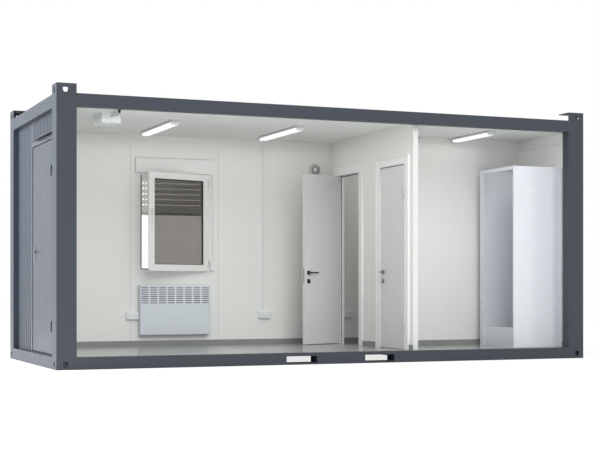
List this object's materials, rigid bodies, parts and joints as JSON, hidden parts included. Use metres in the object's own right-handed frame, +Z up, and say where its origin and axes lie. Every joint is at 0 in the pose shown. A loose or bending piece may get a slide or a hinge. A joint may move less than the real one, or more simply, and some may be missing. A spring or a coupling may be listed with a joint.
{
  "type": "portable site cabin",
  "caption": "Portable site cabin: steel frame with corner fittings, ribbed walls, one long side open, inner doors, tilted window sash with roller shutter, and a shower cabin.",
  "frame": {"origin": "middle of the cabin's plan, on the ground plane under its corner fittings", "axes": "+X along the cabin to its right end, +Y from the open long side to the rear wall, +Z up"},
  "size_m": [6.055, 2.435, 2.791],
  "materials": {
    "frame_paint": "satin",
    "wall_sheet": "satin",
    "ceiling_board": "matte",
    "roof_zinc": "satin",
    "floor_vinyl": "semi-gloss",
    "skirting_grey": "matte",
    "door_sheet": "satin",
    "door_frame_paint": "satin",
    "lever_black": "matte",
    "plate_steel": "brushed",
    "window_white": "semi-gloss",
    "window_pane": "clear",
    "shutter_grey": "matte",
    "strap_grey": "woven",
    "heater_white": "satin",
    "electric_white": "semi-gloss",
    "diffuser_white": "diffusing",
    "shower_white": "gloss"
  },
  "bodies": {
    "cabin": {"corner_posts": "frame_paint", "corner_fittings_top": "frame_paint", "corner_fittings_bottom": "frame_paint", "roof_beams": "frame_paint", "floor_beam_front": "frame_paint", "floor_beam_rear": "frame_paint", "floor_beams_end": "frame_paint", "floor_joists": "roof_zinc", "floor_deck": "floor_vinyl", "ceiling_panel": "ceiling_board", "roof_sheet": "roof_zinc", "rear_wall_left": "wall_sheet", "rear_wall_window_panel": "wall_sheet", "rear_wall_right": "wall_sheet", "right_end_wall": "wall_sheet", "left_end_wall_rear": "wall_sheet", "left_end_wall_front": "wall_sheet", "left_end_wall_over_door": "wall_sheet", "skirtings": "skirting_grey", "partition_rear": "wall_sheet", "partition_middle": "wall_sheet", "partition_front": "wall_sheet", "partition_over_doors": "wall_sheet", "cross_wall": "wall_sheet", "entrance_door_frame": "door_frame_paint", "entrance_canopy": "frame_paint", "toilet_door_frame": "door_frame_paint", "shower_door_frame": "door_frame_paint", "window_frame": "window_white", "window_sash": "window_white", "window_glass": "window_pane", "window_handle": "window_white", "shutter_box": "window_white", "shutter_rails": "window_white", "shutter_curtain": "shutter_grey", "shutter_strap": "strap_grey", "panel_heater": "heater_white", "wall_sockets": "electric_white", "ceiling_lamps": "electric_white", "lamp_diffusers": "diffuser_white", "distribution_box": "electric_white", "conduits": "electric_white", "extract_fan": "electric_white", "shower_walls": "shower_white", "shower_tray": "shower_white"},
    "entrance_door": {"entrance_door_leaf": "door_sheet", "entrance_door_plates": "plate_steel"},
    "toilet_door": {"toilet_door_leaf": "door_sheet", "toilet_door_roses": "plate_steel"},
    "shower_door": {"shower_door_leaf": "door_sheet", "shower_door_roses": "plate_steel"},
    "entrance_lever": {"entrance_door_lever": "lever_black"},
    "toilet_lever": {"toilet_door_lever": "lever_black"},
    "shower_lever": {"shower_door_lever": "lever_black"}
  },
  "joints": [
    {"name": "entrance_door_hinge", "type": "hinge", "parent": "cabin", "child": "entrance_door", "pos_m": [-2.989, -0.798, 0.135], "axis": [0, 0, 1], "range_deg": [0, 95]},
    {"name": "toilet_door_hinge", "type": "hinge", "parent": "cabin", "child": "toilet_door", "pos_m": [0.875, 0.877, 0.128], "axis": [0, 0, 1], "range_deg": [-28, 67]},
    {"name": "shower_door_hinge", "type": "hinge", "parent": "cabin", "child": "shower_door", "pos_m": [0.875, -0.932, 0.128], "axis": [0, 0, 1], "range_deg": [0, 95]},
    {"name": "entrance_lever_turn", "type": "hinge", "parent": "entrance_door", "child": "entrance_lever", "pos_m": [-2.955, 0.08, 1.18], "axis": [1, 0, 0], "range_deg": [0, 40], "stiffness_Nm_per_rad": 2, "springref_deg": -17.19},
    {"name": "toilet_lever_turn", "type": "hinge", "parent": "toilet_door", "child": "toilet_lever", "pos_m": [0.38414, 0.62193, 0.98], "axis": [-0.3907, 0.9205, 0], "range_deg": [0, 40], "stiffness_Nm_per_rad": 2, "springref_deg": -17.19},
    {"name": "shower_lever_turn", "type": "hinge", "parent": "shower_door", "child": "shower_lever", "pos_m": [0.918, -0.3805, 0.98], "axis": [1, 0, 0], "range_deg": [0, 40], "stiffness_Nm_per_rad": 2, "springref_deg": -17.19}
  ]
}
